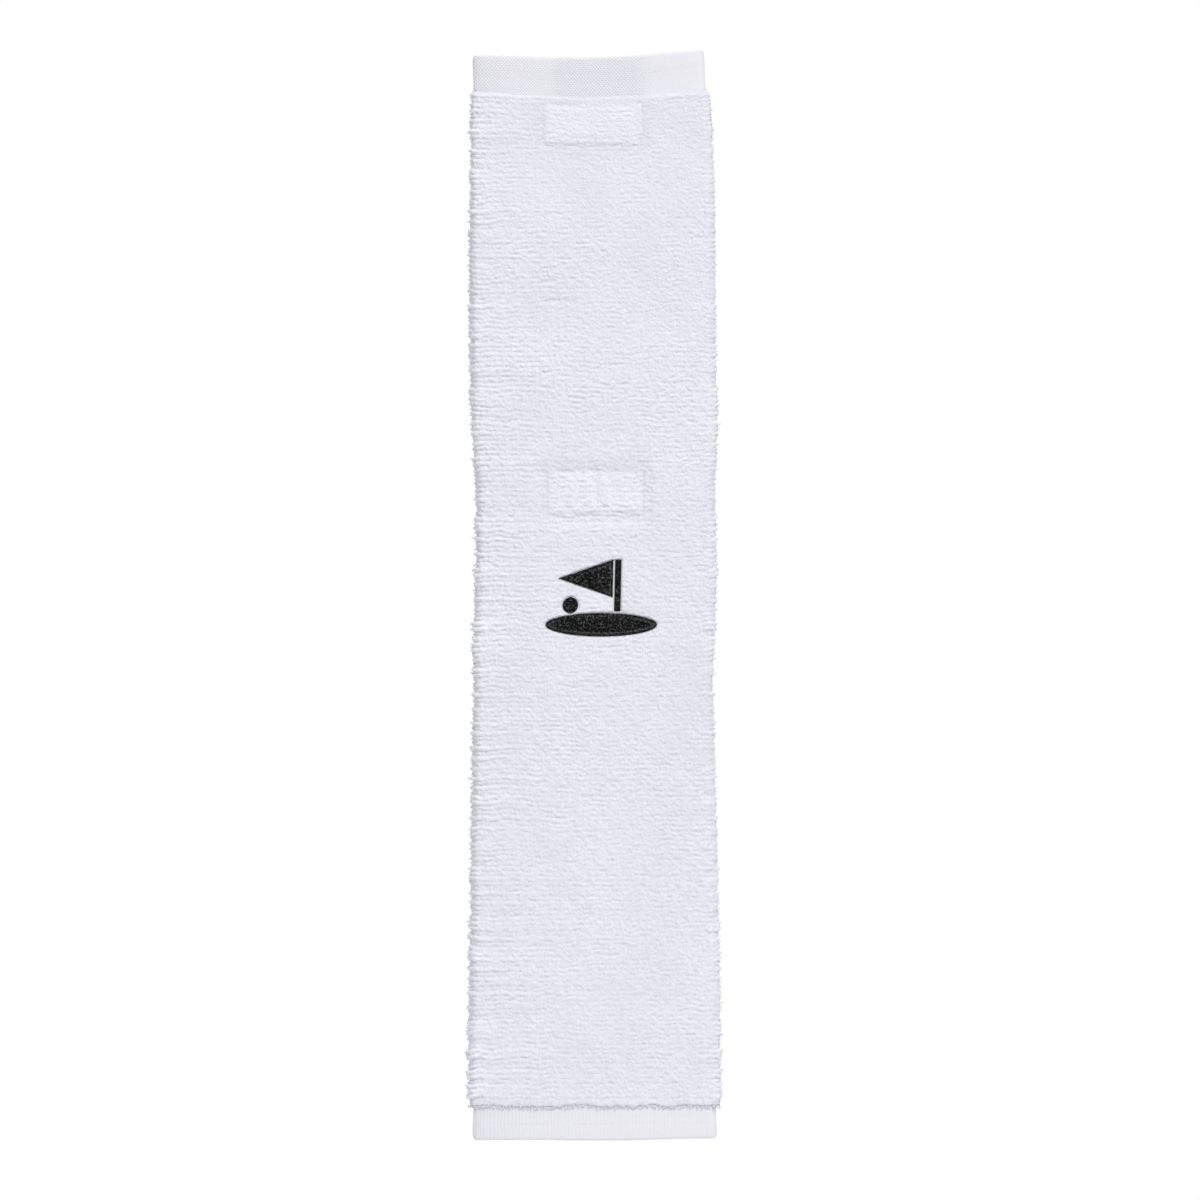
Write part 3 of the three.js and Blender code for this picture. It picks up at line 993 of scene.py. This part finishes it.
def end_hem(name, edge, weave, narrowed, look, body):
    """Flat woven band: single next to the terry, turned in and doubled at the end."""
    away = 1 if edge > weave else -1
    seam = edge - away * (TURNED - SEAM_INSET)
    line = band_profile(edge, weave, away)
    lengths = np.concatenate([[0], np.cumsum(np.hypot(*np.diff(line, axis=0).T))])
    form = grid(440, 64)
    u, v = shares_of(form)
    t, along = u * SHEET_WIDTH, v * lengths[-1]
    offset, z = (np.interp(along, lengths, column) for column in line.T)
    pucker = 0.5 + 0.5 * np.cos(2 * np.pi * t / STITCH)
    offset = offset * (1 - 0.1 * bell(z - seam, 0.9) * pucker)
    offset = offset + 0.12 * drift(t, z, 16, 31) + 0.06 * drift(t, z, 5, 32)
    z = z + 0.25 * drift(t, z * 0, 22, 33) * smooth_step(6, 0, np.abs(z - edge))
    x, y = section(t, offset, 0.0)
    x = x * narrowed
    y = y + 0.9 * bell(x + HALF_WIDTH * narrowed, 3.2) * (y < FRONT_Y)
    corner = np.clip((np.abs(x) - HALF_WIDTH * narrowed + 0.7 + CORNER) / CORNER, 0, 1)
    z = z - away * CORNER * (1 - np.sqrt(1 - corner**2)) * smooth_step(2.5 * CORNER, 0, np.abs(z - edge))
    lay(form, x, y, z)
    layer = form.loops.layers.uv.new("cloth")
    form.verts.index_update()
    for face in form.faces:
        for loop in face.loops:
            i = loop.vert.index
            loop[layer].uv = (t[i] * MM, along[i] * MM)
    bmesh.ops.remove_doubles(form, verts=form.verts[:], dist=1e-6)
    bmesh.ops.holes_fill(form, edges=form.edges[:], sides=0)
    piece = new_piece(name + "_band", form)
    places, *looks = zip(*look)
    across = np.array([v.co.x for v in piece.data.vertices]) / MM
    for label, values in zip(WEAVE_MARKS, looks):
        mark(piece, label, np.interp(across, places, values))
    finish_as(piece, HEM, body, "flat_weave", name)
    return [piece, hem_stitches(name, seam, narrowed, body)]


# ---------- stitches
def stitch_template():
    """A plump stitch one unit long along x and one unit across."""
    form = bmesh.new()
    bmesh.ops.create_uvsphere(form, u_segments=6, v_segments=5, radius=0.5)
    bmesh.ops.rotate(form, matrix=Matrix.Rotation(math.pi / 2, 3, "Y"), verts=form.verts[:])
    return mesh_of(form, "stitch_template")


STITCH_MESH = stitch_template()


def stitch(form, start, end, width):
    start, end = Vector(start), Vector(end)
    along = end - start
    turned = along.to_track_quat("X", "Z").to_matrix().to_4x4()
    size = Matrix.Diagonal((along.length, width, width, 1))
    stamp(form, STITCH_MESH, Matrix.Translation((start + end) / 2) @ turned @ size)


def sewn(name, form, body, *nodes):
    """Makes a piece of white sewing thread of a form's stitches."""
    lay(form)
    return finish_as(new_piece(name, form), WHITE_THREAD, body, "white_thread", *nodes)


def hem_stitches(name, z, narrowed, body):
    form = bmesh.new()
    for i in range(int((SHEET_WIDTH - 4) / STITCH)):
        t = 2 + (i + 0.5) * STITCH + np.array([-0.38, 0.38]) * STITCH
        slant = 0.12 * (chance(i, 1, 41) - 0.5)
        x, y = section(t, 0.56, 0.0)
        x = x * narrowed
        stitch(form, (x[0], y[0], z - slant), (x[1], y[1], z + slant), 0.34)
    return sewn(name + "_stitches", form, body, name + "_thread")


def box_stitches(name, patch, y, width, body):
    """Stitches along the four sides of a patch."""
    middle_x, middle_z, half_x, half_z = middle_and_half(patch, STITCH_INSET)
    x0, x1, z0, z1 = middle_x - half_x, middle_x + half_x, middle_z - half_z, middle_z + half_z
    form = bmesh.new()
    corners = ((x0, z0), (x1, z0), (x1, z1), (x0, z1), (x0, z0))
    for (ax, az), (bx, bz) in zip(corners, corners[1:]):
        count = round(math.hypot(bx - ax, bz - az) / BOX_STITCH)
        for i in range(count):
            parts = (i + 0.1) / count, (i + 0.9) / count
            stitch(form, *((ax + (bx - ax) * part, y, az + (bz - az) * part) for part in parts), width)
    return sewn(name + "_stitches", form, body, name)


def side_stitches(name, x, y, *nodes):
    form = bmesh.new()
    count = round((TERRY_TOP - TERRY_BOTTOM) / STITCH)
    pitch = (TERRY_TOP - TERRY_BOTTOM) / count
    for i in range(count):
        z = TERRY_BOTTOM + (i + 0.5) * pitch
        lean = 0.15 * (chance(i, 2, 43) - 0.5)
        stitch(form, (x - lean, y, z - 0.38 * pitch), (x + lean, y, z + 0.38 * pitch), THREAD)
    return sewn(name, form, "both", *nodes)


# ---------- side hems
def side_hem(name, edge, layer, towards, step, *nodes):
    """Turned strip along a flap's free edge, looped like the rest and pressed along its stitches."""
    run = SIDE_HEM - HALF
    bend = math.pi * HALF
    total = 2 * run + bend
    form = grid(round(total / step), round((TERRY_TOP - TERRY_BOTTOM) / step))
    u, v = shares_of(form)
    around = u * total
    z = TERRY_BOTTOM + v * (TERRY_TOP - TERRY_BOTTOM)
    angle = math.pi / 2 * towards + math.pi * np.clip((around - run) / bend, 0, 1)
    reach = np.where(around < run, run - around, np.where(around > run + bend, around - run - bend, 0))
    seam = bell(reach - run + SIDE_STITCH_INSET, 0.8) * (around < run if towards > 0 else around > run)
    offset = 1.05 + 0.65 * loop_relief(around + 500, z) - 0.75 * seam
    offset = offset * np.sqrt(smooth_step(0, 1.2, np.minimum(around, total - around)))
    lay(form, edge + towards * (HALF + reach) + np.cos(angle) * offset, layer + np.sin(angle) * offset, z)
    piece = new_piece(name, form)
    # The relief mark paints shade into the side hem's colour where its loops are low and along its pressed
    # stitch line.
    mark(piece, "relief", np.clip(offset - 0.9, 0, 1))
    return finish_as(piece, TERRY, "both", "terry", *nodes)


# ---------- hook and loop patches
def tape(name, patch, body):
    """The woven tape of a patch, cut fine enough to dip along its stitches."""
    low, high = patch
    form = block(low, (high[0], BACK_FACE, high[2]))
    rounding = {"offset": 0.25, "offset_type": "OFFSET", "segments": 2, "profile": 0.5}
    bmesh.ops.bevel(form, geom=form.edges[:], affect="EDGES", material=-1, **rounding)
    for normal, count in (((1, 0, 0), 24), ((0, 0, 1), 12)):
        for i in range(1, count):
            cut = (low + (high - low) * i / count) * normal
            geometry = form.verts[:] + form.edges[:] + form.faces[:]
            bmesh.ops.bisect_plane(form, geom=geometry, plane_co=tuple(cut), plane_no=normal)
    x, y, z = points_of(form).T
    lay(form, x, y - 0.22 * bell(near_frame(x, z, patch), 0.9) * (y > BACK_FACE - 0.2), z)
    return finish_as(new_piece(name + "_tape", form, smooth=False), TAPE, body, "tape", name + "_patch")


def bent_strand(radius, stem, bend_radius, turn, steps):
    """A fine strand that rises along y and bends over towards z, in millimetres."""
    form = bmesh.new()
    ring = bmesh.ops.create_circle(form, segments=5, radius=radius)["verts"]
    bmesh.ops.rotate(form, matrix=Matrix.Rotation(-math.pi / 2, 3, "X"), verts=ring)
    made = bmesh.ops.extrude_edge_only(form, edges=form.edges[:])["geom"]
    raised = [g for g in made if isinstance(g, bmesh.types.BMVert)]
    bmesh.ops.translate(form, vec=(0, stem, 0), verts=raised)
    edges = [g for g in made if isinstance(g, bmesh.types.BMEdge)]
    edges = [edge for edge in edges if all(v.co.y > stem / 2 for v in edge.verts)]
    geometry = list(dict.fromkeys(v for edge in edges for v in edge.verts)) + edges
    bend = {"cent": (0, stem, bend_radius), "axis": (1, 0, 0), "angle": turn, "steps": steps}
    bmesh.ops.spin(form, geom=geometry, use_merge=False, **bend)
    bmesh.ops.remove_doubles(form, verts=form.verts[:], dist=1e-5)
    bmesh.ops.holes_fill(form, edges=form.edges[:], sides=6)
    bmesh.ops.recalc_face_normals(form, faces=form.faces[:])
    return mesh_of(form, "strand_template")


def field(name, patch, body, template, pitch_x, pitch_z, spread, neat):
    """The hooks or loops of a patch, in rows."""
    low, high = patch
    inset = 4.2
    x0, x1, z0, z1 = low[0] + inset, high[0] - inset, low[2] + inset, high[2] - inset
    form = bmesh.new()
    for r in range(int((z1 - z0) / pitch_z)):
        for c in range(int((x1 - x0) / pitch_x)):
            x = x0 + (c + 0.5 + (0.5 if r % 2 else 0) * neat + spread * (chance(r, c, 51) - 0.5)) * pitch_x
            z = z0 + (r + 0.5 + spread * (chance(r, c, 52) - 0.5)) * pitch_z
            spin = (math.pi if (r // 2) % 2 else 0) if neat else 2 * math.pi * chance(r, c, 53)
            lean = spread * 0.8 * (chance(r, c, 54) - 0.5)
            place = Matrix.Translation((x, BACK_FACE - 0.12, z))
            stamp(form, template, place @ Matrix.Rotation(spin, 4, "Y") @ Matrix.Rotation(lean, 4, "X"))
    lay(form)
    return finish_as(new_piece(name, form), NYLON, body, "tape")


# ---------- embroidery
def fill_rows(form, shape, angle, inset, y):
    """Rows of running stitches across a shape, each row shifted a third from the last."""
    along = np.array([math.cos(angle), math.sin(angle)])
    across = np.array([-along[1], along[0]])
    a, b = shape.outline, shape.ends
    ua, va, ub, vb = a @ along, a @ across, b @ along, b @ across
    for k in range(int(va.min() / FILL_PITCH) - 1, int(va.max() / FILL_PITCH) + 2):
        v = k * FILL_PITCH
        crosses = (va > v) != (vb > v)
        places = sorted(ua[crosses] + (v - va[crosses]) * (ub - ua)[crosses] / (vb - va)[crosses])
        for low, high in zip(places[::2], places[1::2]):
            low, high = low + inset, high - inset
            start = low - (k % 3) / 3 * FILL_STITCH
            while start < high:
                first, last = max(start, low), min(start + FILL_STITCH * 0.96, high)
                if last - first > 0.5:
                    p, q = along * first + across * v, along * last + across * v
                    tilt = 0.07 * (chance(k, round(start * 10), 61) - 0.5)
                    stitch(form, (p[0], y + tilt, p[1]), (q[0], y - tilt, q[1]), THREAD)
                start += FILL_STITCH


def satin_edge(form, shape, y):
    """Close stitches square to the outline, all the way round, shorter where the shape is narrow."""
    left_over = 0.0
    for (ax, az), (bx, bz) in shape.sides:
        length = math.hypot(bx - ax, bz - az)
        ex, ez = (bx - ax) / length, (bz - az) / length
        at = np.arange(left_over, length, SATIN_PITCH)
        left_over = at[-1] + SATIN_PITCH - length if len(at) else left_over - length
        px, pz = ax + ex * at, az + ez * at
        uneven = chance(np.rint(px * 20), np.rint(pz * 20), 62)
        reach = SATIN_WIDTH * (0.9 + 0.2 * uneven)
        for share in (0.8, 0.6, 0.4, 0.25):
            cramped = shape.inward(px - ez * reach, pz + ex * reach) < 0.45 * reach
            reach = np.where(cramped, SATIN_WIDTH * share, reach)
        proud = 0.25 * (1 - uneven)
        for i in range(len(at)):
            start = (px[i] + ez * proud[i], y, pz[i] - ex * proud[i])
            end = (px[i] - ez * reach[i] + ex * 0.2, y + 0.05, pz[i] + ex * reach[i] + ez * 0.2)
            stitch(form, start, end, THREAD)


def satin_bars(form, shape, y):
    """Close stitches straight across a narrow or small shape."""
    low, high = shape.low[2] + 0.15, shape.high[2] - 0.15
    count = round((high - low) / SATIN_PITCH)
    for i in range(count + 1):
        z = low + (high - low) * i / count
        crosses = (shape.outline[:, 1] > z) != (shape.ends[:, 1] > z)
        a = shape.outline[crosses]
        run = shape.ends[crosses] - a
        places = a[:, 0] + (z - a[:, 1]) / run[:, 1] * run[:, 0]
        slant = 0.1 * (chance(i, 3, 63) - 0.5)
        stitch(form, (places.min() - 0.1, y, z - slant), (places.max() + 0.1, y, z + slant), 0.52)


def embroider(shape, slant):
    """Padding under the thread, then the fill at a slant in degrees and the satin edge, or satin alone."""
    face = shape.low[1]
    form = bmesh.new()
    flat = form.faces.new([form.verts.new((x, face + 0.62, z)) for x, z in shape.outline])
    made = bmesh.ops.extrude_face_region(form, geom=[flat])["geom"]
    raised = [g for g in made if isinstance(g, bmesh.types.BMVert)]
    middle_x, middle_z, _, _ = middle_and_half((shape.low, shape.high))
    middle = Matrix.Translation((-middle_x, 0, -middle_z))
    bmesh.ops.translate(form, vec=(0, -0.42, 0), verts=raised)
    bmesh.ops.scale(form, vec=(0.985, 1, 0.96), verts=raised, space=middle)
    bmesh.ops.recalc_face_normals(form, faces=form.faces[:])
    if slant is None:
        satin_bars(form, shape, face + 0.2)
    else:
        fill_rows(form, shape, math.radians(slant), 0.9, face + 0.22)
        satin_edge(form, shape, face + 0.14)
    x, _, z = points_of(form).T
    # A painted highlight line just inside the satin edge, where the stitches' inner ends meet the fill.
    painted_edge_highlight = bell(shape.inward(x, z) - SATIN_WIDTH - 0.1, 0.4) * (slant is not None)
    lay(form)
    piece = new_piece(shape.node + "_embroidery", form)
    mark(piece, "painted_edge_highlight", painted_edge_highlight)
    return finish_as(piece, BLACK_THREAD, MAIN, "black_thread", shape.node)


# ---------- label and backing
def care_label():
    """A blank ribbon sewn in by one end, whose other end stands a little off the back."""
    low, high = node_box("care_label")
    form = grid(40, 30)
    u, v = shares_of(form)
    free = 1 - u
    lift = 1.2 * free**2.2 * (0.55 + 0.45 * v) + 0.25 * np.sin(v * 4 + u * 2) * free
    lay(form, high[0] - u * (high[0] - low[0]), high[1] - 0.35 + lift, low[2] + v * (high[2] - low[2]))
    label = new_piece("blank_label", form)
    thicken(label, 0.25)
    return finish_as(label, LABEL, MAIN, "label", "care_label")


def backing():
    form = block(*node_box("embroidery_backing"))
    bmesh.ops.subdivide_edges(form, edges=form.edges[:], cuts=7, use_grid_fill=True)
    lay(form)
    return finish_as(new_piece("backing_sheet", form), GROUND, MAIN, "stabiliser", "embroidery_backing")


# ---------- the towel
studio()

levels = (TERRY_BOTTOM, -346, -242, -138, -FOLD_ZONE, FOLD_ZONE, TERRY_TOP)
bodies = (MAIN, MAIN, MAIN, MAIN, "both", UPPER)
cloth = ground_cloth()
pieces = [pile(f"pile_{i + 1}", levels[i], levels[i + 1], body) for i, body in enumerate(bodies)]
pieces.append(fringe())
pieces += end_hem("top_hem", TOP, TERRY_TOP, 0.985, TOP_WEAVE, UPPER)
pieces += end_hem("bottom_hem", BOTTOM, TERRY_BOTTOM, 0.975, BOTTOM_WEAVE, MAIN)
for name, edge, layer, towards, step in (
    ("outer_side", OUTER_EDGE, OUTER_Y, 1, 0.8),
    ("inner_side", INNER_EDGE, INNER_Y, -1, 1.6),
):
    nodes = (f"main_{name}_hem", f"upper_{name}_hem")
    pieces.append(side_hem(name + "_hem", edge, layer, towards, step, *nodes))
thread_x, thread_y = OUTER_EDGE + SIDE_HEM - SIDE_STITCH_INSET, OUTER_Y + 1.55
thread_nodes = ("main_outer_side_thread", "upper_outer_side_thread")
pieces.append(side_stitches("outer_side_stitches", thread_x, thread_y, *thread_nodes))
for name, patch, body in (("hook", HOOK, UPPER), ("loop", LOOP, MAIN)):
    pieces.append(tape(name, patch, body))
    pieces.append(box_stitches(name + "_needle_thread", patch, BACK_FACE + 0.05, 0.55, body))
    pieces.append(box_stitches(name + "_bobbin_thread", patch, FRONT_Y - 0.75, 0.4, body))
hook = bent_strand(0.13, 0.6, 0.3, math.radians(210), 6)
arch = bent_strand(0.1, 0.5, 0.42, math.pi, 6)
pieces.append(field("hook_field", HOOK, UPPER, hook, 1.4, 1.5, 0.12, 1))
pieces.append(field("loop_field", LOOP, MAIN, arch, 1.15, 1.05, 1.0, 0))
for name, slant in (("flag", 24), ("green", 8), ("pole", None), ("ball", None)):
    pieces.append(embroider(EMBLEM[name], slant))
pieces += [care_label(), backing()]
